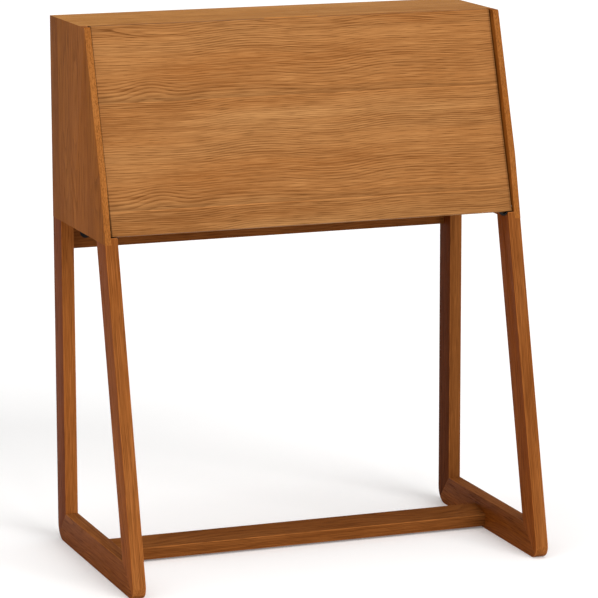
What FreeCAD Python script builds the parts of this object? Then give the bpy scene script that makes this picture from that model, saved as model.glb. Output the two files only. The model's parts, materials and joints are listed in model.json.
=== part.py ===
import FreeCAD, Part
import Sketcher
import os

# Secretary desk: a slant-front case on two trapezoid side frames.
# The origin is on the floor at the middle of the footprint, +Z is up and the
# front faces -Y. All sizes are in millimetres and angles in degrees.

doc = FreeCAD.newDocument("secretary_desk")

SIZES = [
    # overall outline
    ("width", 914),            # outside of one side panel to the outside of the other
    ("height", 1128),          # floor to the top surface
    ("depth", 540),            # rear plane to the toe of the front legs
    ("top_depth", 248),        # depth of the case at the top surface
    ("kink_height", 833),      # where the front edge of the side changes slope
    ("kink_depth", 343),       # depth of the side at that height
    # case
    ("board", 13),             # side and top panels
    ("case_bottom", 701),      # lower edge of the side panels
    ("rest_height", 714.5),    # top of the frames, on which the deck lies
    ("deck_thick", 18),
    ("case_corner", 4),        # radius of the side's upper front corner
    ("back_thick", 6),
    ("back_inset", 2),         # rear plane to the back panel
    # side frames
    ("leg_thick", 27.5),       # across the desk
    ("rear_leg_depth", 60),
    ("front_leg_depth", 62),
    ("foot_height", 66),
    ("rear_corner", 35),       # radius of the heel
    ("front_corner", 25),      # radius of the toe
    # cross members
    ("rail_thick", 20),
    ("rail_inset", 2.8),       # rear plane to the rear rail
    ("rail_bottom", 633.5),
    ("stretcher_width", 59),
    ("stretcher_thick", 28),
    ("stretcher_tilt", 12),    # the rear edge is higher, like a foot rest
    ("stretcher_reach", 234),  # rear plane to the middle of the section
    ("stretcher_height", 24.5),
    ("dowel_radius", 5),
    ("dowel_spacing", 30),
    ("dowel_depth", 20),
    # flap
    ("flap_thick", 18),
    ("flap_lean", 17.6),       # from the vertical when shut
    ("flap_drop", 10.3),       # pivot axis to the lower edge of the flap
    ("flap_heel", 4),          # radius on the hidden lower edge
    ("flap_travel", 107.6),    # shut to level
    ("pivot_setback", 15.4),   # front edge of the side to the pivot axis
    ("side_gap", 3.5),         # flap to side panel
    ("face_gap", 1.2),         # flap to deck and to top panel
    ("notch_width", 120),
    ("notch_depth", 9),
    ("notch_drop", 16),
    # flap pivots
    ("pin_radius", 3),
    ("pin_cover", 4),          # wood left outside the pin's hole in the side
    ("pin_engage", 18),        # length of the pin inside the bush
    ("bush_wall", 2),
    ("bush_extra", 2),         # bush beyond the end of the pin
    ("run_gap", 0.05),         # radial running clearance
    # cup in the head of each front leg
    ("swing_gap", 1.5),        # swing of the flap's lower edge to the cup
    ("cup_wall", 2),
    ("cup_span", 51.5),
    ("cup_depth", 11.5),
    ("cup_inset", 1.2),        # cup plate behind the front face of the leg
    # sliding-rod stays
    ("stay_reach", 164),       # pivot axis to the bracket pin, along the flap
    ("stay_offset", 8),        # inner face of the flap to the bracket pin
    ("stay_shut_gap", 20),     # bracket pin to guide centre with the flap shut
    ("stay_lane", 11),         # side panel to the middle of the rod
    ("rod_radius", 3),
    ("rod_gap", 0.3),
    ("eye_radius", 6),
    ("eye_thick", 5),
    ("stay_pin_radius", 2.5),
    ("collar_radius", 4.5),
    ("collar_length", 6),
    ("guide_length", 14),
    ("guide_width", 12),
    ("stud_radius", 3),
    ("mount_radius", 12),
    ("mount_thick", 2.5),
    ("ear_thick", 3),
    ("ear_gap", 0.5),
    ("bracket_width", 18),
    ("bracket_length", 34),
    ("bracket_plate", 2),
    # organizer
    ("organizer_depth", 170),
    ("organizer_height", 160),
    ("organizer_board", 10),
    ("organizer_lane", 24),    # side panel to the organizer's end
    # catches
    ("cleat", 15),             # square strip behind the top, for the back panel
    ("catch_width", 40),
    ("catch_depth", 15),
    ("catch_height", 12),
    ("catch_spread", 300),     # middle of the desk to a catch
    ("strike_thick", 1.5),
    ("strike_gap", 0.3),
    # fittings
    ("cam_reach", 37),         # leg to the middle of the cam
    ("cam_radius", 9),
    ("cam_depth", 13),
    ("cam_cap_radius", 12.5),
    ("cam_cap_thick", 1.6),
    ("cam_slot", 2.4),
    ("cam_slot_length", 13),
    ("bolt_radius", 3.5),
    ("bolt_bite", 14),
    ("screw_radius", 1.8),
    ("screw_head_radius", 3.6),
    ("screw_head_height", 2.2),
    ("drive_radius", 1.7),     # half the diagonal of the square hollow in a screw head
    ("drive_depth", 1.2),
    ("flat_head", 1.6),        # height of a round screw head
    ("deck_screw_length", 24),
    ("short_screw_length", 9),
    ("back_screw_length", 16),
]

# Places that follow from the sizes above.
LAYOUT = [
    ("lower_slope", "(sizes.depth - sizes.kink_depth) / sizes.kink_height"),
    ("toe_in", "sizes.front_corner * (lower_slope + sqrt(1 + lower_slope^2) - 1)"),
    ("rear", "(sizes.depth - toe_in) / 2"),
    ("front", "rear - sizes.depth"),
    ("half_width", "sizes.width / 2"),
    ("side_inner", "half_width - sizes.board"),
    ("leg_inner", "half_width - sizes.leg_thick"),
    ("top_front", "rear - sizes.top_depth"),
    ("kink_front", "rear - sizes.kink_depth"),
    ("edge_at_case_bottom", "kink_front - lower_slope * (sizes.kink_height - sizes.case_bottom)"),
    ("edge_at_rest", "kink_front - lower_slope * (sizes.kink_height - sizes.rest_height)"),
    ("toe_inner", "front + lower_slope * sizes.foot_height + sizes.front_leg_depth"),
    ("leg_back_at_rest", "edge_at_rest + sizes.front_leg_depth"),
    ("leg_back_at_case_bottom", "edge_at_case_bottom + sizes.front_leg_depth"),
    ("heel_inner", "rear - sizes.rear_leg_depth"),
    ("top_under", "sizes.height - sizes.board"),
    ("deck_top", "sizes.rest_height + sizes.deck_thick"),
    ("back_front", "rear - sizes.back_inset - sizes.back_thick"),
    # flap axis and directions: 'along' runs up the flap, 'out' from its front to its back
    ("flap_half", "sizes.flap_thick / 2"),
    # the open flap is level with the deck, or lies on the frames if it is thicker than the deck
    ("pivot_z", "max(deck_top; sizes.rest_height + sizes.flap_thick) - flap_half"),
    ("pivot_y", "kink_front - lower_slope * (sizes.kink_height - pivot_z) + sizes.pivot_setback"),
    ("along_y", "sin(sizes.flap_lean)"),
    ("along_z", "cos(sizes.flap_lean)"),
    ("lean_slope", "along_y / along_z"),
    ("face_offset", "flap_half / along_z"),
    ("flap_mid_top", "pivot_y + (sizes.height - pivot_z) * lean_slope"),
    ("flap_end", "side_inner - sizes.side_gap"),
    ("heel_reach", "sqrt((flap_half - sizes.flap_heel)^2 + (sizes.flap_drop - sizes.flap_heel)^2)"
                   " + sizes.flap_heel"),
    ("back_face_reach", "flap_half * lean_slope + face_offset"),
    ("deck_front", "pivot_y + max(heel_reach; back_face_reach) + sizes.face_gap"),
    ("swing_radius", "sqrt(flap_half^2 + sizes.flap_drop^2) + sizes.swing_gap"),
    ("panel_offset", "face_offset + sizes.face_gap / along_z"),
    ("top_panel_front", "flap_mid_top + panel_offset"),
    ("top_panel_front_under", "top_panel_front - sizes.board * lean_slope"),
    # cup plate: a circular segment under the deck
    ("cup_radius", "((sizes.cup_span / 2)^2 + sizes.cup_depth^2) / (2 * sizes.cup_depth)"),
    ("cup_y", "edge_at_rest + sizes.cup_inset + sizes.cup_span / 2"),
    ("cup_z", "sizes.rest_height - sizes.cup_depth + cup_radius"),
    # stay: the guide lies on the circle that the bracket pin runs on, so it turns
    # through half the angle of the flap
    ("pin_offset", "flap_half + sizes.stay_offset"),
    ("stay_circle", "sqrt(sizes.stay_reach^2 + pin_offset^2)"),
    ("shut_angle", "90 - sizes.flap_lean - atan(pin_offset / sizes.stay_reach) / 1 deg"),
    ("guide_angle", "shut_angle - 2 * asin(sizes.stay_shut_gap / (2 * stay_circle)) / 1 deg"),
    ("rod_angle", "(shut_angle + guide_angle) / 2 - 90"),
    ("bracket_y", "pivot_y + stay_circle * cos(shut_angle)"),
    ("bracket_z", "pivot_z + stay_circle * sin(shut_angle)"),
    ("guide_y", "pivot_y + stay_circle * cos(guide_angle)"),
    ("guide_z", "pivot_z + stay_circle * sin(guide_angle)"),
    ("open_span", "2 * stay_circle * sin((shut_angle + sizes.flap_travel - guide_angle) / 2)"),
    ("collar_start", "open_span + sizes.guide_length / 2 + 2 * sizes.rod_gap"),
    ("rod_length", "collar_start + sizes.collar_length"),
    # catches: under the top, behind the shut flap
    ("catch_back", "top_panel_front_under + sizes.catch_depth"),
    ("catch_screw_y", "catch_back - sizes.catch_depth / 2"),
    # organizer
    ("organizer_front", "back_front - sizes.organizer_depth"),
    ("organizer_half", "side_inner - sizes.organizer_lane"),
    ("shelf_under", "deck_top + sizes.organizer_height - sizes.organizer_board"),
    ("bay_pitch", "(2 * organizer_half - sizes.organizer_board) / 4"),
    # rear rail and its cams
    ("rail_back", "rear - sizes.rail_inset"),
    ("rail_front", "rail_back - sizes.rail_thick"),
    ("cam_height", "(sizes.rail_bottom + sizes.case_bottom) / 2"),
    # stretcher section
    ("stretcher_y", "rear - sizes.stretcher_reach"),
]


def make_sheet(name, rows, as_formula):
    sheet = doc.addObject("Spreadsheet::Sheet", name)
    for row, (alias, value) in enumerate(rows, start=1):
        sheet.set(f"A{row}", alias)
        sheet.setAlias(f"B{row}", alias)
        sheet.set(f"B{row}", f"={value}" if as_formula else str(value))
    doc.recompute()
    return sheet


sizes = make_sheet("sizes", SIZES, as_formula=False)
layout = make_sheet("layout", LAYOUT, as_formula=True)


# ---------------------------------------------------------------- helpers

def number(expression):
    """The present value of an expression, used to draw a sketch near its solution."""
    value = sizes.evalExpression(expression)
    return float(getattr(value, "Value", value))


def origin_plane(body, role):
    return next(item for item in body.Origin.OriginFeatures if item.Role == role)


def board(name, plane, corners, start, length):
    """A flat piece: a polygon on an origin plane, padded along the plane's normal.

    The plane is 'YZ_Plane' (normal +X), 'XZ_Plane' (normal -Y) or 'XY_Plane'
    (normal +Z); start is the distance of its first face along that normal.
    """
    body = doc.addObject("PartDesign::Body", name)
    sketch = body.newObject("Sketcher::SketchObject", f"{name}_outline")
    sketch.AttachmentSupport = [(origin_plane(body, plane), "")]
    sketch.MapMode = "FlatFace"
    sketch.setExpression("AttachmentOffset.Base.z", start)
    points = [FreeCAD.Vector(number(u), number(v), 0) for u, v in corners]
    count = len(points)
    for index, point in enumerate(points):
        sketch.addGeometry(Part.LineSegment(point, points[(index + 1) % count]), False)
    for index in range(count):
        sketch.addConstraint(Sketcher.Constraint("Coincident", index, 2, (index + 1) % count, 1))
    for index, (u, v) in enumerate(corners):
        for kind, expression in (("DistanceX", u), ("DistanceY", v)):
            place = sketch.addConstraint(
                Sketcher.Constraint(kind, -1, 1, index, 1, number(expression)))
            sketch.setExpression(f"Constraints[{place}]", expression)
    pad = body.newObject("PartDesign::Pad", f"{name}_pad")
    pad.Profile = sketch
    pad.setExpression("Length", length)
    sketch.Visibility = False
    doc.recompute()
    return body


def round_edges(body, name, corners, radius):
    """Round the edges across the desk that pass through these (y, z) corners."""
    base = body.Tip
    names = []
    for index, edge in enumerate(base.Shape.Edges, start=1):
        ends = [vertex.Point for vertex in edge.Vertexes]
        for y, z in corners:
            if all(abs(end.y - number(y)) < 0.01 and abs(end.z - number(z)) < 0.01 for end in ends):
                names.append(f"Edge{index}")
    fillet = body.newObject("PartDesign::Fillet", name)
    fillet.Base = (base, names)
    fillet.setExpression("Radius", radius)
    doc.recompute()
    return fillet


def box(name, low, size):
    """A rectangular piece from its lowest corner and its three sizes."""
    item = doc.addObject("Part::Box", name)
    for prop, expression in zip(("Length", "Width", "Height"), size):
        item.setExpression(prop, expression)
    for axis, expression in zip("xyz", low):
        item.setExpression(f"Placement.Base.{axis}", expression)
    return item


def rod(name, start, radius, length, axis):
    """A cylinder along +X, +Y, -Y or +Z from its start point."""
    turns = {"+X": ((0, 1, 0), 90), "+Y": ((1, 0, 0), -90), "-Y": ((1, 0, 0), 90), "+Z": ((0, 0, 1), 0)}
    item = doc.addObject("Part::Cylinder", name)
    direction, angle = turns[axis]
    item.Placement = FreeCAD.Placement(FreeCAD.Vector(), FreeCAD.Rotation(FreeCAD.Vector(*direction), angle))
    item.setExpression("Radius", radius)
    item.setExpression("Height", length)
    for letter, expression in zip("xyz", start):
        item.setExpression(f"Placement.Base.{letter}", expression)
    return item


def fuse(name, pieces):
    item = doc.addObject("Part::MultiFuse", name)
    item.Shapes = pieces
    return item


def common(name, pieces):
    item = doc.addObject("Part::MultiCommon", name)
    item.Shapes = pieces
    return item


def group(name, pieces):
    """Separate solids that share one node."""
    item = doc.addObject("Part::Compound", name)
    item.Links = pieces
    return item


def cut(name, base, tools):
    """The base less its tools, one after another."""
    item = base
    for place, tool in enumerate(tools):
        step = doc.addObject("Part::Cut", name if tool is tools[-1] else f"{name}_less_{place}")
        step.Base, step.Tool = item, tool
        item = step
    return item


drives = {"deck": [], "back": [], "catch": []}


def screw(name, head, radius, length, axis):
    """A countersunk screw: a cone head whose flat top is at the start point.
    The square hollow for the driver goes to the drives of its set."""
    turns = {"+X": ((0, 1, 0), 90), "-X": ((0, 1, 0), -90), "+Y": ((1, 0, 0), -90), "-Y": ((1, 0, 0), 90),
             "+Z": ((0, 0, 1), 0), "-Z": ((1, 0, 0), 180)}
    direction, angle = turns[axis]
    rotation = FreeCAD.Rotation(FreeCAD.Vector(*direction), angle)
    cone = doc.addObject("Part::Cone", f"{name}_head")
    cone.Placement = FreeCAD.Placement(FreeCAD.Vector(), rotation)
    cone.setExpression("Radius1", "sizes.screw_head_radius")
    cone.setExpression("Radius2", radius)
    cone.setExpression("Height", "sizes.screw_head_height")
    shank = doc.addObject("Part::Cylinder", f"{name}_shank")
    shank.Placement = FreeCAD.Placement(FreeCAD.Vector(), rotation)
    shank.setExpression("Radius", radius)
    shank.setExpression("Height", length)
    drive = doc.addObject("Part::Prism", f"{name}_drive")
    drive.Polygon = 4
    drive.Placement = FreeCAD.Placement(FreeCAD.Vector(), rotation)
    drive.setExpression("Circumradius", "sizes.drive_radius")
    drive.setExpression("Height", "sizes.drive_depth")
    for item in (cone, shank, drive):
        for letter, expression in zip("xyz", head):
            item.setExpression(f"Placement.Base.{letter}", expression)
    drives[name.split("_")[0]].append(drive)
    return fuse(name, [cone, shank])


def mirrored(name, source):
    """The same piece on the other side of the desk's middle plane."""
    item = doc.addObject("Part::Mirroring", name)
    item.Source = source
    item.Normal = FreeCAD.Vector(1, 0, 0)
    return item


kept = []


def keep(item, label):
    """Mark an object as a sub-part; its label is the name of its node."""
    item.Label = label
    kept.append(item)
    return item


def keep_pair(item, label):
    """Keep a left-hand piece and its mirror image on the right."""
    keep(item, f"{label}_left")
    return keep(mirrored(f"{label}_mirror", item), f"{label}_right")


# ---------------------------------------------------------------- fasteners

# Up through the head rails into the deck, two on each side.
deck_screws = []
for side, sign in (("left", "-"), ("right", "")):
    for place, share in (("rear", 0.25), ("front", 0.75)):
        middle = f"{sign}(layout.side_inner + layout.leg_inner) / 2"
        along = f"layout.heel_inner + {share} * (layout.leg_back_at_case_bottom - layout.heel_inner)"
        deck_screws.append(screw(f"deck_screw_{side}_{place}", (middle, along, "sizes.case_bottom"),
                                 "sizes.screw_radius", "sizes.deck_screw_length", "+Z"))
deck_screw_set = group("deck_screw_set", deck_screws)

# Forward through the back panel, a row into the deck and a row into the cleat.
BACK_SCREWS_ACROSS = 5
back_screws = []
for row, level in (("deck", "(sizes.rest_height + layout.deck_top) / 2"),
                   ("cleat", "layout.top_under - sizes.cleat / 2")):
    for place in range(BACK_SCREWS_ACROSS):
        share = 2 * (place + 0.5) / BACK_SCREWS_ACROSS - 1
        back_screws.append(screw(f"back_screw_{row}_{place}",
                                 (f"{share:.1f} * layout.side_inner", "layout.rear - sizes.back_inset", level),
                                 "sizes.screw_radius", "sizes.back_screw_length", "-Y"))
back_screw_set = group("back_screw_set", back_screws)

# Dowels between each foot rail and the stretcher, two at each end.
dowels = []
for side, start in (("left", "-layout.leg_inner - sizes.dowel_depth"),
                    ("right", "layout.leg_inner - sizes.dowel_depth")):
    for place, sign in (("rear", ""), ("front", "-")):
        shift = f"{sign}sizes.dowel_spacing / 2"
        dowels.append(rod(f"dowel_{side}_{place}",
                          (start, f"layout.stretcher_y + ({shift}) * cos(sizes.stretcher_tilt)",
                           f"sizes.stretcher_height + ({shift}) * sin(sizes.stretcher_tilt)"),
                          "sizes.dowel_radius", "2 * sizes.dowel_depth", "+X"))
dowel_set = group("dowel_set", dowels)

# Steel bolts from the rear legs to the cams in the rear rail.
BOLT_LENGTH = "sizes.bolt_bite + sizes.cam_reach - sizes.cam_radius"
BOLT_Y = "layout.rail_front + sizes.cam_depth / 2"
bolts = []
for side, start in (("left", "-layout.leg_inner - sizes.bolt_bite"),
                    ("right", "layout.leg_inner - sizes.cam_reach + sizes.cam_radius")):
    bolts.append(rod(f"cam_bolt_{side}", (start, BOLT_Y, "layout.cam_height"),
                     "sizes.bolt_radius", BOLT_LENGTH, "+X"))
bolt_set = group("bolt_set", bolts)

# Up through the catches into the top panel, one in each catch.
catch_screws = []
for side, sign in (("left", "-"), ("right", "")):
    catch_screws.append(screw(f"catch_screw_{side}",
                              (f"{sign}sizes.catch_spread", "layout.catch_screw_y",
                               "layout.top_under - sizes.catch_height"),
                              "sizes.screw_radius", "sizes.catch_height + sizes.board / 2", "+Z"))
catch_screw_set = group("catch_screw_set", catch_screws)

# Round-headed screws through the stay mounts into the side panels, two in each.
mount_screws = []
for place, sign in (("front", "-"), ("rear", "+")):
    place_y = f"layout.guide_y {sign} (sizes.mount_radius + sizes.stud_radius) / 2"
    head = rod(f"mount_screw_{place}_head",
               ("-layout.side_inner + sizes.mount_thick", place_y, "layout.guide_z"),
               "sizes.screw_head_radius", "sizes.flat_head", "+X")
    shank = rod(f"mount_screw_{place}_shank",
                ("-layout.side_inner + sizes.mount_thick - sizes.short_screw_length", place_y, "layout.guide_z"),
                "sizes.screw_radius", "sizes.short_screw_length", "+X")
    mount_screws.append(fuse(f"mount_screw_{place}", [head, shank]))
mount_screws_left = group("mount_screws_left", mount_screws)
mount_screws_right = mirrored("mount_screws_right", mount_screws_left)
mount_screw_set = group("mount_screw_set", [mount_screws_left, mount_screws_right])

# ---------------------------------------------------------------- case

top_blank = board(
    "top_blank", "XZ_Plane",
    [("-layout.half_width", "sizes.height"), ("layout.half_width", "sizes.height"),
     ("layout.side_inner", "layout.top_under"), ("-layout.side_inner", "layout.top_under")],
    "-layout.rear", "layout.rear - layout.top_front")
front_waste = board(
    "front_waste", "YZ_Plane",
    [("layout.top_panel_front", "sizes.height"), ("layout.top_panel_front_under", "layout.top_under"),
     ("layout.top_front - sizes.board", "layout.top_under"), ("layout.top_front - sizes.board", "sizes.height")],
    "-layout.half_width", "sizes.width")
top_panel = cut("top_panel", top_blank, [front_waste, catch_screw_set])
keep(top_panel, "top_panel")
keep(cut("driven_catch_screws", catch_screw_set, drives["catch"]), "catch_screws")

side_blank = board(
    "side_blank", "YZ_Plane",
    [("layout.rear", "sizes.case_bottom"), ("layout.rear", "sizes.height"), ("layout.top_front", "sizes.height"),
     ("layout.kink_front", "sizes.kink_height"), ("layout.edge_at_case_bottom", "sizes.case_bottom")],
    "-layout.half_width", "sizes.board")
round_edges(side_blank, "front_top", [("layout.top_front", "sizes.height")], "sizes.case_corner")
pivot_pin = rod("pivot_pin", ("-layout.half_width + sizes.pin_cover", "layout.pivot_y", "layout.pivot_z"),
                "sizes.pin_radius", "sizes.board - sizes.pin_cover + sizes.side_gap + sizes.pin_engage", "+X")
side_panel = cut("side_panel", side_blank, [top_panel, pivot_pin, mount_screws_left])
keep_pair(side_panel, "side_panel")
keep_pair(pivot_pin, "pivot_pin")

deck_blank = box("deck_blank", ("-layout.side_inner", "layout.deck_front", "sizes.rest_height"),
                 ("2 * layout.side_inner", "layout.back_front - layout.deck_front", "sizes.deck_thick"))
keep(cut("deck", deck_blank, [deck_screw_set, back_screw_set]), "writing_deck")

back_blank = box("back_blank", ("-layout.side_inner", "layout.back_front", "sizes.rest_height"),
                 ("2 * layout.side_inner", "sizes.back_thick", "layout.top_under - sizes.rest_height"))
keep(cut("back", back_blank, [back_screw_set]), "back_panel")

cleat_blank = box("cleat_blank", ("-layout.side_inner", "layout.back_front - sizes.cleat",
                                  "layout.top_under - sizes.cleat"),
                  ("2 * layout.side_inner", "sizes.cleat", "sizes.cleat"))
keep(cut("cleat_strip", cleat_blank, [back_screw_set]), "back_cleat")
keep(cut("driven_back_screws", back_screw_set, drives["back"]), "back_screws")

# ---------------------------------------------------------------- side frames

# One outline for the whole frame gives every member the same outer faces.
frame_blank = board(
    "frame_blank", "YZ_Plane",
    [("layout.rear", "0"), ("layout.front", "0"), ("layout.edge_at_rest", "sizes.rest_height"),
     ("layout.rear", "sizes.rest_height")],
    "-layout.half_width", "sizes.leg_thick")
round_edges(frame_blank, "heel", [("layout.rear", "0")], "sizes.rear_corner")
round_edges(frame_blank, "toe", [("layout.front", "0")], "sizes.front_corner")

swing_hollow = rod("swing_hollow", ("-layout.side_inner", "layout.pivot_y", "layout.pivot_z"),
                   "layout.swing_radius + sizes.cup_wall", "sizes.leg_thick - sizes.board", "+X")

# Corners of the members, mitred from each inner corner to the outer one.
HEEL, HEEL_INNER = ("layout.rear", "0"), ("layout.heel_inner", "sizes.foot_height")
TOE, TOE_INNER = ("layout.front", "0"), ("layout.toe_inner", "sizes.foot_height")
MEMBERS = [
    ("rear_leg", [HEEL, ("layout.rear", "sizes.rest_height"), ("layout.heel_inner", "sizes.rest_height"),
                  HEEL_INNER], [side_panel, bolt_set]),
    ("foot_rail", [HEEL, HEEL_INNER, TOE_INNER, TOE], [dowel_set]),
    ("front_leg", [TOE, TOE_INNER, ("layout.leg_back_at_rest", "sizes.rest_height"),
                   ("layout.edge_at_rest", "sizes.rest_height")], [side_panel, swing_hollow]),
]
for name, corners, hollows in MEMBERS:
    blank = board(f"{name}_blank", "YZ_Plane", corners, "-layout.half_width", "sizes.leg_thick")
    shaped = common(f"{name}_shaped", [blank, frame_blank])
    keep_pair(cut(name, shaped, hollows), name)

head_blank = board(
    "head_blank", "YZ_Plane",
    [("layout.heel_inner", "sizes.case_bottom"), ("layout.heel_inner", "sizes.rest_height"),
     ("layout.leg_back_at_rest", "sizes.rest_height"), ("layout.leg_back_at_case_bottom", "sizes.case_bottom")],
    "-layout.side_inner", "sizes.leg_thick - sizes.board")
keep_pair(cut("head_rail", head_blank, [deck_screw_set]), "head_rail")
keep(cut("driven_deck_screws", deck_screw_set, drives["deck"]), "deck_screws")

# Black cup in the head of each front leg: it lines the hollow in which the lower
# edge of the flap turns, and its plate covers the end of the hollow.
cup_tube = rod("cup_tube", ("-layout.side_inner", "layout.pivot_y", "layout.pivot_z"),
               "layout.swing_radius + sizes.cup_wall", "sizes.leg_thick - sizes.board", "+X")
cup_disc = rod("cup_disc", ("-layout.leg_inner", "layout.cup_y", "layout.cup_z"),
               "layout.cup_radius", "sizes.cup_wall", "+X")
cup_space = box("cup_space", ("-layout.side_inner", "layout.cup_y - layout.cup_radius", "sizes.case_bottom - 5"),
                ("sizes.leg_thick - sizes.board + sizes.cup_wall", "2 * layout.cup_radius",
                 "sizes.rest_height - sizes.case_bottom + 5"))
cup_swing = rod("cup_swing", ("-layout.side_inner", "layout.pivot_y", "layout.pivot_z"),
                "layout.swing_radius", "sizes.leg_thick", "+X")
cup_body = common("cup_body", [fuse("cup_solid", [cup_tube, cup_disc]), cup_space])
keep_pair(cut("swing_cup", cup_body, [cup_swing]), "swing_cup")

# ---------------------------------------------------------------- cross members

rail_blank = box("rail_blank", ("-layout.leg_inner", "layout.rail_front", "sizes.rail_bottom"),
                 ("2 * layout.leg_inner", "sizes.rail_thick", "sizes.rest_height - sizes.rail_bottom"))
CAM_X = "-(layout.leg_inner - sizes.cam_reach)"
CAM_FACE = "layout.rail_front - sizes.cam_cap_thick"
cam_core = rod("cam_core", (CAM_X, "layout.rail_front", "layout.cam_height"),
               "sizes.cam_radius", "sizes.cam_depth", "+Y")
cam_cap = rod("cam_cap", (CAM_X, CAM_FACE, "layout.cam_height"),
              "sizes.cam_cap_radius", "sizes.cam_cap_thick", "+Y")
cam_slot = box("cam_slot", (f"{CAM_X} - sizes.cam_slot_length / 2", CAM_FACE,
                            "layout.cam_height - sizes.cam_slot / 2"),
               ("sizes.cam_slot_length", "sizes.cam_cap_thick", "sizes.cam_slot"))
cam_left = cut("cam_lock", fuse("cam_solid", [cam_core, cam_cap]), [cam_slot])
cam_right = keep_pair(cam_left, "cam_lock")
keep(cut("rear_rail", rail_blank, [cam_left, cam_right, bolt_set]), "rear_rail")
keep(bolt_set, "cam_bolts")


def tilted(across, up):
    """A point of the stretcher's section, from its middle, turned by the tilt."""
    turn = "sizes.stretcher_tilt"
    return (f"layout.stretcher_y + ({across}) * cos({turn}) - ({up}) * sin({turn})",
            f"sizes.stretcher_height + ({across}) * sin({turn}) + ({up}) * cos({turn})")


HALF_W, HALF_T = "sizes.stretcher_width / 2", "sizes.stretcher_thick / 2"
stretcher_blank = board(
    "stretcher_blank", "YZ_Plane",
    [tilted(HALF_W, HALF_T), tilted(f"-{HALF_W}", HALF_T), tilted(f"-{HALF_W}", f"-{HALF_T}"),
     tilted(HALF_W, f"-{HALF_T}")],
    "-layout.leg_inner", "2 * layout.leg_inner")
keep(cut("stretcher_board", stretcher_blank, [dowel_set]), "stretcher")
keep(dowel_set, "stretcher_dowels")

# ---------------------------------------------------------------- stays

ROD_X = "-(layout.side_inner - sizes.stay_lane)"
BRACKET = ("layout.bracket_y", "layout.bracket_z")
GUIDE = ("layout.guide_y", "layout.guide_z")


def on_flap(along, out):
    """A point from the pivot axis, up the flap and out towards its inner face."""
    return (f"layout.pivot_y + ({along}) * layout.along_y + ({out}) * layout.along_z",
            f"layout.pivot_z + ({along}) * layout.along_z - ({out}) * layout.along_y")


def on_rod(along, aside):
    """A point from the bracket pin, along the shut rod and square to it."""
    turn = "layout.rod_angle"
    return (f"layout.bracket_y + ({along}) * cos({turn}) - ({aside}) * sin({turn})",
            f"layout.bracket_z + ({along}) * sin({turn}) + ({aside}) * cos({turn})")


def turned_rod(name, start, angle, radius, length):
    """A cylinder in a plane across the desk, its axis raised by an angle from +Y."""
    item = doc.addObject("Part::Cylinder", name)
    item.Placement = FreeCAD.Placement(FreeCAD.Vector(), FreeCAD.Rotation(FreeCAD.Vector(1, 0, 0), -90))
    item.setExpression("Placement.Rotation.Angle", f"({angle}) - 90")
    item.setExpression("Radius", radius)
    item.setExpression("Height", length)
    for letter, expression in zip("xyz", start):
        item.setExpression(f"Placement.Base.{letter}", expression)
    return item


EYE_X = f"{ROD_X} - sizes.eye_thick / 2"
EAR_X = f"{ROD_X} + sizes.eye_thick / 2 + sizes.ear_gap"
PIN_X = f"{EYE_X} - sizes.ear_gap"
PIN_LENGTH = "sizes.eye_thick + 2 * sizes.ear_gap + sizes.ear_thick"
stay_eye = rod("stay_eye", (EYE_X, *BRACKET), "sizes.eye_radius", "sizes.eye_thick", "+X")
stay_bar = turned_rod("stay_bar", (ROD_X, *BRACKET), "layout.rod_angle", "sizes.rod_radius", "layout.rod_length")
stay_collar = turned_rod("stay_collar", (ROD_X, *on_rod("layout.collar_start", "0")), "layout.rod_angle",
                         "sizes.collar_radius", "sizes.collar_length")
eye_bore = rod("eye_bore", (PIN_X, *BRACKET), "sizes.stay_pin_radius + sizes.run_gap", PIN_LENGTH, "+X")
keep_pair(cut("stay_rod", fuse("stay_rod_solid", [stay_eye, stay_bar, stay_collar]), [eye_bore]), "stay_rod")

# Bracket on the inner face of the flap: a plate, an ear beside the rod's eye and
# the pin that the eye turns on.
REACH, HALF_FOOT = "sizes.stay_reach", "sizes.bracket_length / 2"
FOOT_FACE = "layout.flap_half + sizes.bracket_plate"
bracket_ear = board(
    "bracket_ear", "YZ_Plane",
    [on_flap(f"{REACH} - sizes.eye_radius", "layout.flap_half"),
     on_flap(f"{REACH} + sizes.eye_radius", "layout.flap_half"),
     on_flap(f"{REACH} + sizes.eye_radius", "layout.pin_offset"),
     on_flap(f"{REACH} - sizes.eye_radius", "layout.pin_offset")],
    EAR_X, "sizes.ear_thick")
ear_round = rod("ear_round", (EAR_X, *BRACKET), "sizes.eye_radius", "sizes.ear_thick", "+X")
bracket_foot = board(
    "bracket_foot", "YZ_Plane",
    [on_flap(f"{REACH} - {HALF_FOOT}", "layout.flap_half"), on_flap(f"{REACH} + {HALF_FOOT}", "layout.flap_half"),
     on_flap(f"{REACH} + {HALF_FOOT}", FOOT_FACE), on_flap(f"{REACH} - {HALF_FOOT}", FOOT_FACE)],
    EAR_X, "sizes.bracket_width")
bracket_pin = rod("bracket_pin", (PIN_X, *BRACKET), "sizes.stay_pin_radius", PIN_LENGTH, "+X")
bracket_solid = fuse("bracket_solid", [bracket_ear, ear_round, bracket_foot, bracket_pin])


def flap_screw(name, across, along, plate):
    """A round-headed screw square to the inner face of the flap, through a plate."""
    foot = f"layout.flap_half + {plate}"
    head = turned_rod(f"{name}_head", (across, *on_flap(along, foot)), "-sizes.flap_lean",
                      "sizes.screw_head_radius", "sizes.flat_head")
    shank_start = f"{foot} - sizes.short_screw_length"
    shank = turned_rod(f"{name}_shank", (across, *on_flap(along, shank_start)), "-sizes.flap_lean",
                       "sizes.screw_radius", "sizes.short_screw_length")
    return fuse(name, [head, shank])


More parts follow.
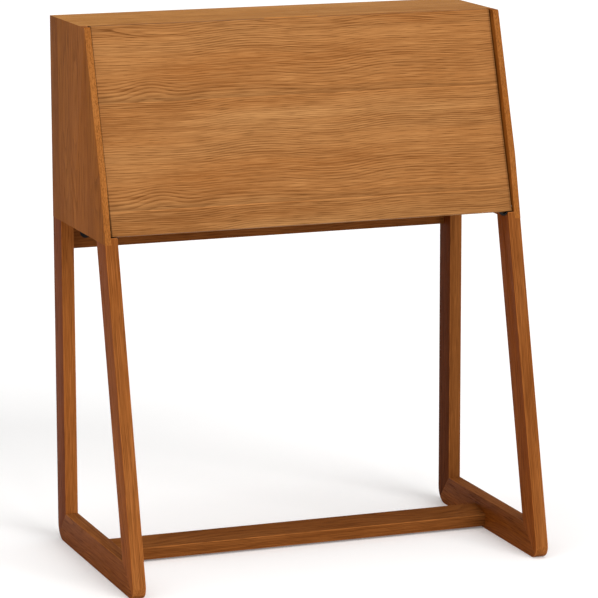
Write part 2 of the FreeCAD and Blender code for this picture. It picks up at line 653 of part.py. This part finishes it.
FOOT_X = f"{EAR_X} + (sizes.ear_thick + sizes.bracket_width) / 2"
bracket_screws_left = group("bracket_screws_left", [
    flap_screw("bracket_screw_upper", FOOT_X, f"{REACH} + {HALF_FOOT} - sizes.eye_radius", "sizes.bracket_plate"),
    flap_screw("bracket_screw_lower", FOOT_X, f"{REACH} - {HALF_FOOT} + sizes.eye_radius", "sizes.bracket_plate"),
])
bracket_screw_set = group("bracket_screw_set",
                          [bracket_screws_left, mirrored("bracket_screws_right", bracket_screws_left)])
keep(bracket_screw_set, "stay_bracket_screws")
keep_pair(cut("stay_bracket", bracket_solid, [bracket_screws_left]), "stay_bracket")

# Guide on the side panel: a block that slides on the rod and swivels on its stud.
SPAN, HALF_L, HALF_G = "sizes.stay_shut_gap", "sizes.guide_length / 2", "sizes.guide_width / 2"
guide_block = board(
    "guide_block", "YZ_Plane",
    [on_rod(f"{SPAN} - {HALF_L}", HALF_G), on_rod(f"{SPAN} + {HALF_L}", HALF_G),
     on_rod(f"{SPAN} + {HALF_L}", f"-{HALF_G}"), on_rod(f"{SPAN} - {HALF_L}", f"-{HALF_G}")],
    f"{ROD_X} - {HALF_G}", "sizes.guide_width")
guide_stud = rod("guide_stud", ("-layout.side_inner + sizes.ear_gap", *GUIDE), "sizes.stud_radius",
                 f"sizes.stay_lane - {HALF_G} - sizes.ear_gap", "+X")
guide_bore = turned_rod("guide_bore", (ROD_X, *on_rod(f"{SPAN} - sizes.guide_length", "0")), "layout.rod_angle",
                        "sizes.rod_radius + sizes.rod_gap", "2 * sizes.guide_length")
keep_pair(cut("stay_guide", fuse("guide_solid", [guide_block, guide_stud]), [guide_bore]), "stay_guide")

mount_disc = rod("mount_disc", ("-layout.side_inner", *GUIDE), "sizes.mount_radius", "sizes.mount_thick", "+X")
mount_bore = rod("mount_bore", ("-layout.side_inner", *GUIDE), "sizes.stud_radius + sizes.run_gap",
                 "sizes.mount_thick", "+X")
keep_pair(cut("stay_mount", mount_disc, [mount_bore, mount_screws_left]), "stay_mount")
keep(mount_screw_set, "stay_mount_screws")

# ---------------------------------------------------------------- catches

CATCH_X = "-sizes.catch_spread - sizes.catch_width / 2"


def at_height(level, gap):
    """A point in front of the top panel: a height, and a gap behind the shut flap."""
    return (f"layout.pivot_y + (({level}) - layout.pivot_z) * layout.lean_slope + layout.face_offset"
            f" + ({gap}) / layout.along_z", level)


CATCH_LOW = "layout.top_under - sizes.catch_height"
STRIKE_BACK = "sizes.strike_thick + sizes.strike_gap"
catch_blank = board(
    "catch_blank", "YZ_Plane",
    [at_height("layout.top_under", STRIKE_BACK), at_height(CATCH_LOW, STRIKE_BACK),
     ("layout.catch_back", CATCH_LOW), ("layout.catch_back", "layout.top_under")],
    CATCH_X, "sizes.catch_width")
keep_pair(cut("catch", catch_blank, [catch_screw_set]), "magnetic_catch")
strike_blank = board(
    "strike_blank", "YZ_Plane",
    [at_height("layout.top_under", "0"), at_height(CATCH_LOW, "0"), at_height(CATCH_LOW, "sizes.strike_thick"),
     at_height("layout.top_under", "sizes.strike_thick")],
    CATCH_X, "sizes.catch_width")
strike_nails = []
for place, sign in (("outer", "-"), ("inner", "+")):
    strike_nails.append(turned_rod(
        f"strike_nail_{place}",
        (f"-sizes.catch_spread {sign} sizes.catch_width / 3",
         *at_height("layout.top_under - sizes.catch_height / 2", "sizes.strike_thick - sizes.short_screw_length")),
        "-sizes.flap_lean", "sizes.screw_radius", "sizes.short_screw_length"))
strike_left = fuse("strike_left", [strike_blank, *strike_nails])
strike_right = keep_pair(strike_left, "strike_plate")

# ---------------------------------------------------------------- flap

flap_blank = board(
    "flap_blank", "YZ_Plane",
    [on_flap("-sizes.flap_drop", "layout.flap_half"), on_flap("-sizes.flap_drop", "-layout.flap_half"),
     ("layout.flap_mid_top - layout.face_offset", "sizes.height"),
     ("layout.flap_mid_top + layout.face_offset", "sizes.height")],
    "-layout.flap_end", "2 * layout.flap_end")
round_edges(flap_blank, "flap_heel", [on_flap("-sizes.flap_drop", "layout.flap_half")], "sizes.flap_heel")
notch = board(
    "notch", "YZ_Plane",
    [("layout.flap_mid_top + layout.face_offset - sizes.notch_depth", "sizes.height"),
     ("layout.flap_mid_top + layout.face_offset", "sizes.height"),
     ("layout.flap_mid_top + layout.face_offset - sizes.notch_drop * layout.lean_slope",
      "sizes.height - sizes.notch_drop")],
    "-sizes.notch_width / 2", "sizes.notch_width")
bush_hollow = rod("bush_hollow", ("-layout.flap_end", "layout.pivot_y", "layout.pivot_z"),
                  "sizes.pin_radius + sizes.bush_wall", "sizes.pin_engage + sizes.bush_extra", "+X")
bush_bore = rod("bush_bore", ("-layout.flap_end", "layout.pivot_y", "layout.pivot_z"),
                "sizes.pin_radius + sizes.run_gap", "sizes.pin_engage + sizes.bush_extra", "+X")
keep_pair(cut("pivot_bush", bush_hollow, [bush_bore]), "pivot_bush")
bush_hollow_right = mirrored("bush_hollow_right", bush_hollow)
keep(cut("flap_panel", flap_blank, [notch, bush_hollow, bush_hollow_right, bracket_screw_set, strike_left,
                                    strike_right]), "flap")

# ---------------------------------------------------------------- organizer

BOARD = "sizes.organizer_board"
ORGANIZER_HEIGHT = f"sizes.organizer_height - {BOARD}"
keep(box("organizer_top", ("-layout.organizer_half", "layout.organizer_front", "layout.shelf_under"),
         ("2 * layout.organizer_half", "sizes.organizer_depth", BOARD)), "organizer_shelf")
UPRIGHTS = ["organizer_end_left", "organizer_divider_left", "organizer_divider_middle",
            "organizer_divider_right", "organizer_end_right"]
for place, name in enumerate(UPRIGHTS):
    keep(box(f"{name}_board",
             (f"-layout.organizer_half + {place} * layout.bay_pitch", "layout.organizer_front", "layout.deck_top"),
             (BOARD, "sizes.organizer_depth", ORGANIZER_HEIGHT)), name)

# ---------------------------------------------------------------- check and write

doc.recompute()
for item in doc.Objects:
    if "Invalid" in item.State or "Error" in item.State:
        raise RuntimeError(f"{item.Name} failed: {item.State}")

os.makedirs("parts", exist_ok=True)
for item in kept:
    shape = item.Shape
    if shape.isNull() or not shape.isValid() or not shape.Solids:
        raise RuntimeError(f"{item.Label} has no valid solid")
    shape.exportStep(f"parts/{item.Label}.step")
    print(f"{item.Label}: {len(shape.Solids)} solid(s), {shape.Volume / 1000:.1f} cm3")
print(f"{len(kept)} nodes written")
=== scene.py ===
"""Looks of the secretary desk: stained oak boards, black fittings, studio light."""
import json
import math

import bmesh
import bpy
from mathutils import Matrix, Vector
from mathutils.bvhtree import BVHTree

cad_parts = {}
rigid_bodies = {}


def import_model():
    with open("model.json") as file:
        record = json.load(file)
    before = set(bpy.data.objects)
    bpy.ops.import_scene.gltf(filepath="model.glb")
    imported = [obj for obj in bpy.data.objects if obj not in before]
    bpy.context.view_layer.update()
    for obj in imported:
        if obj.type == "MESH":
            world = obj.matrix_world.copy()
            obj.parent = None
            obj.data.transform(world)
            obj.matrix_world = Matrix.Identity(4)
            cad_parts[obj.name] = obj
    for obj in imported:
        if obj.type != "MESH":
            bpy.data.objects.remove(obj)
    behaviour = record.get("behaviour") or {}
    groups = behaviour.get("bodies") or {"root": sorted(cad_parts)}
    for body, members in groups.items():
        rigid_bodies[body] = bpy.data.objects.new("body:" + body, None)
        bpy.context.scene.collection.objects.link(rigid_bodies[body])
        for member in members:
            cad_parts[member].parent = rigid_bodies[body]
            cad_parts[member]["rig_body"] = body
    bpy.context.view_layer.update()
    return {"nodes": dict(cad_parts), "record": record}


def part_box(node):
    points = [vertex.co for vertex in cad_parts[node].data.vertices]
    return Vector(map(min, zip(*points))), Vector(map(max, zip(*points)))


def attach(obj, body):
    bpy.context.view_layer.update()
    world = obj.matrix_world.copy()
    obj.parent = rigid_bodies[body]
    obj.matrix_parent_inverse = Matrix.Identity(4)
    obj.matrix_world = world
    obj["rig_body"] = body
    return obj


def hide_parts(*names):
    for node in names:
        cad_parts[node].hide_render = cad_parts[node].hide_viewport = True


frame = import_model()
nodes = frame["nodes"]

X_AXIS = Vector((1, 0, 0))
Y_AXIS = Vector((0, 1, 0))
Z_AXIS = Vector((0, 0, 1))

FLAP_LEAN = math.radians(17.6)     # of the shut flap, from the vertical
LEG_SLOPE = 0.2365                 # depth gained by the front leg per unit of height
STRETCHER_TILT = math.radians(12)
EASED = 0.0015                     # rounding of a free edge
JOINT_EASED = 0.0002               # rounding where two boards meet
TOUCHING = 0.00015                 # boards nearer than this meet
WHITE = (1, 1, 1, 1)
PLAIN = (1.0, 1.0, 1.0)            # a tint that changes nothing


# ------------------------------------------------------------ shader helpers

class Graph:
    """Shader nodes of one material, made by calls that return their output."""

    def __init__(self, name):
        self.material = bpy.data.materials.new(name)
        self.material.use_nodes = True
        self.tree = self.material.node_tree
        self.shader = self.tree.nodes["Principled BSDF"]

    def put(self, value, socket):
        if isinstance(value, bpy.types.NodeSocket):
            self.tree.links.new(value, socket)
        else:
            socket.default_value = value

    def node(self, kind, *inputs, **settings):
        made = self.tree.nodes.new(kind)
        for key, value in settings.items():
            setattr(made, key, value)
        for value, socket in zip(inputs, made.inputs):
            if value is not None:
                self.put(value, socket)
        return made

    def math(self, operation, *inputs, clamp=False):
        return self.node("ShaderNodeMath", *inputs, operation=operation, use_clamp=clamp).outputs[0]

    def attribute(self, name, output):
        return self.node("ShaderNodeAttribute", attribute_name=name).outputs[output]

    def stretch(self, vector, *factors):
        return self.node("ShaderNodeVectorMath", vector, factors, operation="MULTIPLY").outputs[0]

    def noise(self, vector, detail=2.0, roughness=0.5, distortion=0.0):
        made = self.node("ShaderNodeTexNoise")
        for name, value in (("Vector", vector), ("Scale", 1.0), ("Detail", detail),
                            ("Roughness", roughness), ("Distortion", distortion)):
            self.put(value, made.inputs[name])
        return made.outputs["Fac"]

    def sway(self, vector, amount, **settings):
        """Noise about zero that moves a length by up to about half of amount."""
        centred = self.math("SUBTRACT", self.noise(vector, **settings), 0.5)
        return self.math("MULTIPLY", centred, amount)

    def hill(self, value, centre, width):
        """One at the centre, falling away smoothly on both sides."""
        offset = self.math("DIVIDE", self.math("SUBTRACT", value, centre), width)
        return self.math("EXPONENT", self.math("MULTIPLY", self.math("MULTIPLY", offset, offset), -1.0))

    def curve(self, value, *stops):
        made = self.node("ShaderNodeValToRGB", value)
        ramp = made.color_ramp
        while len(ramp.elements) < len(stops):
            ramp.elements.new(1.0)
        for element, (place, level) in zip(ramp.elements, stops):
            element.position = place
            element.color = (level, level, level, 1)
        return made.outputs["Color"]

    def mix(self, factor, first, second, blend="MIX"):
        made = self.tree.nodes.new("ShaderNodeMix")
        made.data_type = "RGBA"
        made.blend_type = blend
        self.put(factor, made.inputs[0])
        self.put(first, made.inputs[6])
        self.put(second, made.inputs[7])
        return made.outputs[2]

    def bump(self, height, distance, strength=1.0):
        made = self.node("ShaderNodeBump")
        self.put(strength, made.inputs["Strength"])
        self.put(distance, made.inputs["Distance"])
        self.put(height, made.inputs["Height"])
        return made.outputs["Normal"]


# ------------------------------------------------------------ materials

# how often each mark of the wood repeats in a metre: along, across and out from the pith
PORES = (20.0, 700.0, 700.0)
FIBRES = (6.0, 460.0, 460.0)
SHINE = (14.0, 800.0, 800.0)
CLOUDS = (2.0, 11.0, 11.0)
BANDS = (1.2, 34.0, 34.0)
HIGHLIGHT_PATCHES = (30.0, 90.0, 90.0)

# places along the log where the rings rise over a hidden knot, and by how much
KNOT_SWELLS = ((3.672, 0.020), (3.780, 0.009))


def shaded(colour, factor):
    return tuple(factor * channel for channel in colour[:3]) + (1,)


def growth_rings(g, grain, spacing):
    """The line of each ring and its shade, round a pith that wanders, so that a flat cut shows arches."""
    along, across, out = g.node("ShaderNodeSeparateXYZ", grain).outputs
    swell = g.math("MULTIPLY", g.math("SINE", g.math("MULTIPLY", along, 19.0)), 0.006)
    wander_across = g.math("ADD", swell, g.sway(g.stretch(grain, 3.6, 3.5, 3.5), 0.016, detail=1.0))
    wander_out = g.sway(g.stretch(grain, 2.4, 1.0, 1.0), 0.030, detail=1.0)
    for centre, rise in KNOT_SWELLS:
        swelling = g.math("MULTIPLY", g.hill(along, centre, 0.055), g.hill(across, 0.072, 0.040))
        wander_across = g.math("SUBTRACT", wander_across, g.math("MULTIPLY", swelling, rise))
    ripple = g.sway(g.stretch(grain, 8.0, 60.0, 60.0), 0.0032, detail=2.5)
    squares = [g.math("POWER", g.math("ADD", place, wander), 2.0)
               for place, wander in ((across, wander_across), (out, wander_out))]
    from_pith = g.math("SQRT", g.math("ADD", *squares))
    rings = g.math("DIVIDE", g.math("ADD", from_pith, ripple), spacing)
    phase = g.math("FRACT", rings)
    line = g.curve(phase, (0.0, 0.15), (0.07, 1.0), (0.30, 0.62), (0.62, 0.12), (1.0, 0.0))
    year = g.node("ShaderNodeCombineXYZ", g.math("MULTIPLY", rings, 0.31), g.math("MULTIPLY", along, 1.5), 0.0)
    depth = g.curve(g.noise(year.outputs[0], detail=1.0), (0.30, 0.10), (0.68, 1.0))
    return line, g.math("MULTIPLY", line, depth)


def oak(name, light, middle, dark, spacing, figure, painted_edge_highlight=0.0):
    """Stained oak. The grain attribute holds metres from the pith: along, across, out."""
    g = Graph(name)
    grain = g.attribute("grain", "Vector")
    ring_line, ring_shade = growth_rings(g, grain, spacing)

    # open pores: short dark dashes along the grain, most of them in the early wood
    dashes = g.curve(g.noise(g.stretch(grain, *PORES), detail=2.0, roughness=0.6), (0.52, 0.0), (0.64, 1.0))
    pores = g.math("MULTIPLY", dashes, g.math("MULTIPLY_ADD", ring_line, 0.75, 0.25))
    fibres = g.noise(g.stretch(grain, *FIBRES), detail=3.0, roughness=0.7)
    shine = g.curve(g.noise(g.stretch(grain, *SHINE), detail=2.0), (0.50, 0.0), (0.66, 1.0))

    # slow changes of tone from the stain and the log
    clouds = g.curve(g.noise(g.stretch(grain, *CLOUDS), detail=2.0), (0.30, 0.0), (0.70, 1.0))
    bands = g.curve(g.noise(g.stretch(grain, *BANDS), detail=1.5), (0.32, 0.0), (0.70, 1.0))

    colour = g.mix(clouds, light, middle)
    colour = g.mix(g.math("MULTIPLY", bands, 0.60), colour, middle)
    colour = g.mix(g.math("MULTIPLY", ring_shade, figure), colour, dark)
    colour = g.mix(g.math("MULTIPLY", g.curve(fibres, (0.42, 0.0), (0.60, 1.0)), 0.40), colour, dark)
    colour = g.mix(g.math("MULTIPLY", pores, 0.70), colour, shaded(dark, 0.55))
    colour = g.mix(g.math("MULTIPLY", shine, 0.32), colour, shaded(light, 1.35))
    # the tone attribute: the wood's own tone per face, with painted shade and painted highlight where the
    # boards set them
    colour = g.mix(1.0, colour, g.attribute("tone", "Color"), "MULTIPLY")
    # painted highlight: the eased edges made lighter in patches, standing in for light caught by the arrises
    if painted_edge_highlight:
        highlight_patches = g.curve(g.noise(g.stretch(grain, *HIGHLIGHT_PATCHES), detail=3.0), (0.30, 0.2), (0.66, 1.0))
        colour = g.mix(g.math("MULTIPLY", highlight_patches, painted_edge_highlight), colour, shaded(light, 1.6))
    g.put(colour, g.shader.inputs["Base Color"])

    gloss = g.math("MULTIPLY_ADD", fibres, 0.14, 0.46)
    g.put(g.math("MULTIPLY_ADD", pores, 0.18, gloss), g.shader.inputs["Roughness"])
    g.shader.inputs["Specular IOR Level"].default_value = 0.02
    relief = g.math("MULTIPLY_ADD", pores, -1.0, g.math("MULTIPLY", fibres, 0.35))
    g.put(g.bump(relief, 0.00022, 0.55), g.shader.inputs["Normal"])
    return g.material


def coated(name, colour, roughness, speckle, relief, metallic=0.0, specular=0.5):
    """Moulded plastic, powder coat or plain metal, by its roughness and fine texture."""
    g = Graph(name)
    place = g.node("ShaderNodeTexCoord").outputs["Object"]
    fine = g.noise(g.stretch(place, speckle, speckle, speckle), detail=3.0, roughness=0.6)
    broad = g.noise(g.stretch(place, 60.0, 60.0, 60.0), detail=2.0)
    shade = g.math("MULTIPLY_ADD", broad, 0.5, 0.75)
    shading = g.node("ShaderNodeCombineXYZ", shade, shade, shade).outputs[0]
    g.put(g.mix(1.0, colour, shading, "MULTIPLY"), g.shader.inputs["Base Color"])
    g.put(g.math("MULTIPLY_ADD", fine, 0.25, roughness), g.shader.inputs["Roughness"])
    g.shader.inputs["Metallic"].default_value = metallic
    g.shader.inputs["Specular IOR Level"].default_value = specular
    g.put(g.bump(fine, relief, 0.5), g.shader.inputs["Normal"])
    return g.material


OAKS = {
    "flap_oak": dict(light=(0.432, 0.206, 0.070, 1), middle=(0.318, 0.121, 0.031, 1),
                     dark=(0.110, 0.030, 0.004, 1), spacing=0.0042, figure=0.80),
    "case_oak": dict(light=(0.370, 0.128, 0.024, 1), middle=(0.265, 0.076, 0.010, 1),
                     dark=(0.105, 0.026, 0.003, 1), spacing=0.0033, figure=0.55),
    "frame_oak": dict(light=(0.343, 0.122, 0.030, 1), middle=(0.238, 0.070, 0.012, 1),
                      dark=(0.095, 0.022, 0.003, 1), spacing=0.0030, figure=0.60),
    "inner_oak": dict(light=(0.380, 0.150, 0.038, 1), middle=(0.290, 0.100, 0.020, 1),
                      dark=(0.115, 0.034, 0.006, 1), spacing=0.0036, figure=0.55),
    "dowel_beech": dict(light=(0.520, 0.360, 0.200, 1), middle=(0.450, 0.290, 0.150, 1),
                        dark=(0.250, 0.140, 0.060, 1), spacing=0.0025, figure=0.20),
}
# painted highlight on the eased edges, by slot: how far each edge material is lightened
PAINTED_EDGE_HIGHLIGHT = {"case_oak": 0.80, "flap_oak": 0.60}
PAINTED_EDGE_HIGHLIGHT_ELSEWHERE = 0.35
WOOD = {slot: (oak(slot, **look), oak(slot + "_edge", **look, painted_edge_highlight=PAINTED_EDGE_HIGHLIGHT.get(slot, PAINTED_EDGE_HIGHLIGHT_ELSEWHERE)))
        for slot, look in OAKS.items()}

COATINGS = {
    "black_plastic": dict(colour=(0.004, 0.004, 0.004, 1), roughness=0.45, speckle=2600.0,
                          relief=0.00006, specular=0.15),
    "black_steel": dict(colour=(0.016, 0.016, 0.017, 1), roughness=0.30, speckle=1500.0, relief=0.00010),
    "brass": dict(colour=(0.62, 0.42, 0.16, 1), roughness=0.20, speckle=900.0,
                  relief=0.00003, metallic=1.0),
    "bright_steel": dict(colour=(0.55, 0.55, 0.54, 1), roughness=0.22, speckle=1200.0,
                         relief=0.00003, metallic=1.0),
}
FITTINGS = {name: coated(name, **look) for name, look in COATINGS.items()}


# ------------------------------------------------------------ boards

def welded(node):
    """The node's CAD solid as a mesh whose flat faces are whole."""
    mesh = bmesh.new()
    mesh.from_mesh(nodes[node].data)
    bmesh.ops.remove_doubles(mesh, verts=mesh.verts, dist=1e-6)
    bmesh.ops.dissolve_limit(mesh, angle_limit=math.radians(1), verts=mesh.verts, edges=mesh.edges)
    return mesh


def surfaces(names):
    """Each named node's surface, to find what touches it."""
    found = {}
    for name in names:
        mesh = bmesh.new()
        mesh.from_mesh(nodes[name].data)
        found[name] = BVHTree.FromBMesh(mesh)
        mesh.free()
    return found


SLOT_OF = {row["node"]: row["material_slot"] for row in frame["record"]["subparts"]}
WOODEN = [name for name in sorted(nodes) if SLOT_OF[name] in WOOD]
SURFACES = surfaces(WOODEN)


def meets_another(node, point):
    for name, tree in SURFACES.items():
        if name != node and nodes[name]["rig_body"] == nodes[node]["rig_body"]:
            if tree.find_nearest(point, TOUCHING)[0] is not None:
                return True
    return False


def weigh_edges(node, mesh):
    """Free edges get the full rounding, edges at a joint a hairline, and small holes none."""
    weights = mesh.edges.layers.float.new("bevel_weight_edge")
    for edge in mesh.edges:
        if edge.calc_face_angle(0.0) < math.radians(25):
            continue
        if edge.calc_length() < 0.0024:
            edge.smooth = False
            continue
        middle = (edge.verts[0].co + edge.verts[1].co) / 2
        edge[weights] = JOINT_EASED / EASED if meets_another(node, middle) else 1.0


def lay_grain(mesh, leaves, painted_shade_ends, painted_front_light, flank, tint, along, across, seed):
    """Writes metres from the pith and a tone to every corner. A leaf is a strip between
    two seams: its lower bound, the place of its pith across and behind it, and its tone.
    An end is a place along the grain, the way to the end from there, and its tone, a painted shade.
    Faces turned to the front take the front colour, a painted highlight, in place of the tone
    and tint, and those turned to the left or right are multiplied by a side colour, a painted shade."""
    out = along.cross(across)
    grain = mesh.loops.layers.float_vector.new("grain")
    tone = mesh.loops.layers.float_color.new("tone")
    for face in mesh.faces:
        place = face.calc_center_median().dot(across)
        index = max(i for i, leaf in enumerate(leaves) if i == 0 or place > leaf[0])
        _, pith_across, pith_out, shade = leaves[index]
        colour = tint
        # painted highlight: faces turned to the front take a lighter, yellower colour in place of tone and
        # tint
        if painted_front_light and face.normal.y < -0.7:
            shade, colour = 1.0, painted_front_light
        # painted shade: faces turned to the left or right darkened and reddened
        if abs(face.normal.x) > 0.7:
            colour = [channel * share for channel, share in zip(colour, flank)]
        # painted shade: faces past an end's place are darkened by its factor
        for place_along, way, factor in painted_shade_ends:
            if (face.calc_center_median().dot(along) - place_along) * way > 0:
                shade *= factor
        for loop in face.loops:
            spot = loop.vert.co
            loop[grain] = (spot.dot(along) + seed, spot.dot(across) - pith_across,
                           spot.dot(out) - pith_out)
            loop[tone] = (*(shade * share for share in colour), 1)


def board(node, along, across, leaves, seed, painted_shade_ends=(), painted_front_light=None, flank=PLAIN, tint=PLAIN):
    """A wooden piece in the shape of its CAD node, with eased edges and grain."""
    mesh = welded(node)
    weigh_edges(node, mesh)
    for place, normal in [(leaf[0], across) for leaf in leaves[1:]] + [(end[0], along) for end in painted_shade_ends]:
        bmesh.ops.bisect_plane(mesh, geom=mesh.verts[:] + mesh.edges[:] + mesh.faces[:],
                               plane_co=normal * place, plane_no=normal)
    lay_grain(mesh, leaves, painted_shade_ends, painted_front_light, flank, tint, along, across, seed)
    for face in mesh.faces:
        face.smooth = True
    data = bpy.data.meshes.new(node + "_board")
    mesh.to_mesh(data)
    mesh.free()
    piece = bpy.data.objects.new(node + "_board", data)
    bpy.context.scene.collection.objects.link(piece)
    for material in WOOD[SLOT_OF[node]]:
        data.materials.append(material)
    rounding = piece.modifiers.new("eased_edges", "BEVEL")
    rounding.limit_method = "WEIGHT"
    rounding.width = EASED
    rounding.segments = 3
    # the eased edges take the second material, which carries the painted highlight
    rounding.material = 1
    rounding.harden_normals = True
    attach(piece, nodes[node]["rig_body"])
    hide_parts(node)
    return piece


def middle_of(node):
    low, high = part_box(node)
    return (low + high) / 2


def straight(node, along, across, seed, tone=1.0, behind=0.11, aside=0.03, **shades):
    """A board of one piece, cut well away from the pith, so its grain runs straight."""
    out = along.cross(across)
    centre = middle_of(node)
    leaf = (0.0, centre.dot(across) + aside, centre.dot(out) - behind, tone)
    return board(node, along, across, [leaf], seed, **shades)


def build_flap():
    """Matched leaves of flat-cut veneer under a narrow strip, with the seams seen on its front."""
    leaf_height, strip_height, first_seam = 0.222, 0.033, 0.166
    seam_width, seam_tone = 0.0024, 1.13
    below_seam, behind_front = 0.050, 0.10     # the pith of each leaf
    darker_above_seam = ((0.0, 0.82), (0.007, 0.90), (0.016, 1.0))
    up = Vector((0, math.sin(FLAP_LEAN), math.cos(FLAP_LEAN)))
    low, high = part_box("flap")
    top = Vector((0, high.y, high.z)).dot(up)
    front = Vector((0, low.y, low.z)).dot(X_AXIS.cross(up))
    pith = front - behind_front
    seams = [top - first_seam - leaf_height, top - first_seam]
    lowest = seams[0] - leaf_height
    leaves = [(lowest, lowest - 0.06, pith, 0.85)]
    for seam, shade in zip(seams, (0.97, 1.0)):
        leaves.append((seam - seam_width, leaves[-1][1], pith, seam_tone))
        for height, deeper in darker_above_seam:
            leaves.append((seam + height, seam - below_seam, pith, shade * deeper))
    leaves.append((top - strip_height, top - 0.018, front - 0.002, 0.97))
    # painted shade: a 2.2 mm strip at the left end and a 4 mm strip at the right end darkened, beside the gaps
    # to the side panels
    painted_shade_ends = [(low.x + 0.0022, -1, 0.42), (high.x - 0.0040, 1, 0.80)]
    return board("flap", X_AXIS, up, leaves, 4.0, painted_shade_ends)


def build_sides():
    for side, seed in (("left", 11.3), ("right", 23.1)):
        low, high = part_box("side_panel_" + side)
        out = Z_AXIS.cross(Y_AXIS).dot(middle_of("side_panel_" + side))
        staves = [(low.y, low.y + 0.05, out - 0.10, 0.98),
                  (low.y + 0.120, low.y + 0.20, out - 0.12, 1.04),
                  (low.y + 0.235, low.y + 0.27, out - 0.09, 0.95),
                  (high.y - 0.055, high.y + 0.05, out - 0.10, 0.84)]
        # painted highlight: the front edges of the side panels lighter and yellower than their other faces
        board("side_panel_" + side, Z_AXIS, Y_AXIS, staves, seed, painted_front_light=(1.0, 1.08, 1.3),
              tint=(1.0, 0.97, 0.85))


def build_top():
    low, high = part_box("top_panel")
    staves = [(low.y, low.y + 0.02, high.z - 0.10, 1.52),
              (low.y + 0.105, low.y + 0.19, high.z - 0.08, 1.58)]
    board("top_panel", X_AXIS, Y_AXIS, staves, 31.7, tint=(1.0, 1.38, 2.2))


def build_frames():
    up_the_leg = Vector((0, LEG_SLOPE, 1)).normalized()
    across_the_leg = up_the_leg.cross(X_AXIS)
    # painted light and shade: the rear left leg made lighter and the rear right leg darker, as a painted
    # shadow of the case
    for side, seed, rear_painted_lighting, front_tone in (("left", 41.9, 1.10, 0.95), ("right", 57.2, 0.68, 0.90)):
        # painted shade: the faces of legs and foot rails turned to the left or right made darker and redder
        straight("rear_leg_" + side, Z_AXIS, Y_AXIS, seed, rear_painted_lighting, flank=(0.65, 0.45, 0.28))
        straight("front_leg_" + side, up_the_leg, across_the_leg, seed + 2.1, front_tone,
                 flank=(1.05, 0.82, 0.5))
        straight("foot_rail_" + side, Y_AXIS, Z_AXIS, seed + 4.3, 0.86, flank=(1.0, 0.82, 0.5))
        straight("head_rail_" + side, Y_AXIS, Z_AXIS, seed + 6.8, 0.95)
    straight("rear_rail", X_AXIS, Z_AXIS, 71.4, 0.70)
    tilted = Vector((0, math.cos(STRETCHER_TILT), math.sin(STRETCHER_TILT)))
    straight("stretcher", X_AXIS, tilted, 77.8, 0.71)
    straight("stretcher_dowels", X_AXIS, Y_AXIS, 79.1, 1.0)


def build_inside():
    straight("writing_deck", X_AXIS, Y_AXIS, 83.5, 1.0, behind=0.09, aside=0.0)
    straight("back_panel", X_AXIS, Z_AXIS, 87.2, 1.0, behind=0.08, aside=0.0)
    straight("back_cleat", X_AXIS, Z_AXIS, 89.9, 0.96)
    straight("organizer_shelf", X_AXIS, Y_AXIS, 91.3, 1.02)
    uprights = sorted(name for name in nodes if name.startswith(("organizer_end", "organizer_div")))
    for count, name in enumerate(uprights):
        straight(name, Z_AXIS, Y_AXIS, 95.0 + 3.7 * count, 1.0)


def build_fittings():
    for name in sorted(nodes):
        if SLOT_OF[name] in FITTINGS:
            nodes[name].data.materials.clear()
            nodes[name].data.materials.append(FITTINGS[SLOT_OF[name]])


# ------------------------------------------------------------ studio

AMBIENT = 0.42                     # brightness of the surroundings as they light the desk
BACKDROP = 1.02                    # and as they are seen behind it


def build_floor():
    half = 30.0
    mesh = bpy.data.meshes.new("floor")
    corners = [(-half, -half, 0), (half, -half, 0), (half, half, 0), (-half, half, 0)]
    mesh.from_pydata(corners, [], [(0, 1, 2, 3)])
    floor = bpy.data.objects.new("floor", mesh)
    bpy.context.scene.collection.objects.link(floor)
    g = Graph("studio_floor")
    g.shader.inputs["Base Color"].default_value = (0.92, 0.915, 0.91, 1)
    g.shader.inputs["Emission Color"].default_value = WHITE
    g.shader.inputs["Emission Strength"].default_value = 0.12
    g.shader.inputs["Roughness"].default_value = 0.9
    g.shader.inputs["Specular IOR Level"].default_value = 0.1
    mesh.materials.append(g.material)


def distant_light(name, direction, softness, strength):
    lamp = bpy.data.lights.new(name, "SUN")
    lamp.energy = strength
    lamp.angle = math.radians(softness)
    holder = bpy.data.objects.new(name, lamp)
    holder.rotation_euler = Vector(direction).to_track_quat("-Z", "Y").to_euler()
    bpy.context.scene.collection.objects.link(holder)


def build_light():
    world = bpy.data.worlds.new("studio")
    world.use_nodes = True
    tree = world.node_tree
    background = tree.nodes["Background"]
    background.inputs["Color"].default_value = WHITE
    seen = tree.nodes.new("ShaderNodeLightPath").outputs["Is Camera Ray"]
    level = tree.nodes.new("ShaderNodeMath")
    level.operation = "MULTIPLY_ADD"
    tree.links.new(seen, level.inputs[0])
    level.inputs[1].default_value = BACKDROP - AMBIENT
    level.inputs[2].default_value = AMBIENT
    tree.links.new(level.outputs[0], background.inputs["Strength"])
    bpy.context.scene.world = world
    distant_light("key", (-0.20, 0.86, -0.47), 40, 2.35)
    distant_light("overhead", (0.10, 0.15, -0.98), 60, 1.10)


def build_camera():
    data = bpy.data.cameras.new("camera")
    data.sensor_width = 36.0
    data.lens = 204.5
    data.shift_x = -0.0069
    data.shift_y = -0.0119
    data.clip_end = 100.0
    camera = bpy.data.objects.new("camera", data)
    bpy.context.scene.collection.objects.link(camera)
    heading = Matrix.Rotation(math.radians(-20.40), 4, "Z")
    tilt = Matrix.Rotation(math.radians(90 - 11.05), 4, "X")
    roll = Matrix.Rotation(math.radians(-0.12), 4, "Z")
    camera.matrix_world = Matrix.Translation((-2.4311, -6.5583, 1.9206)) @ heading @ tilt @ roll
    bpy.context.scene.camera = camera


build_flap()
build_sides()
build_top()
build_frames()
build_inside()
build_fittings()
build_floor()
build_light()
build_camera()
bpy.context.scene.view_settings.view_transform = "Standard"
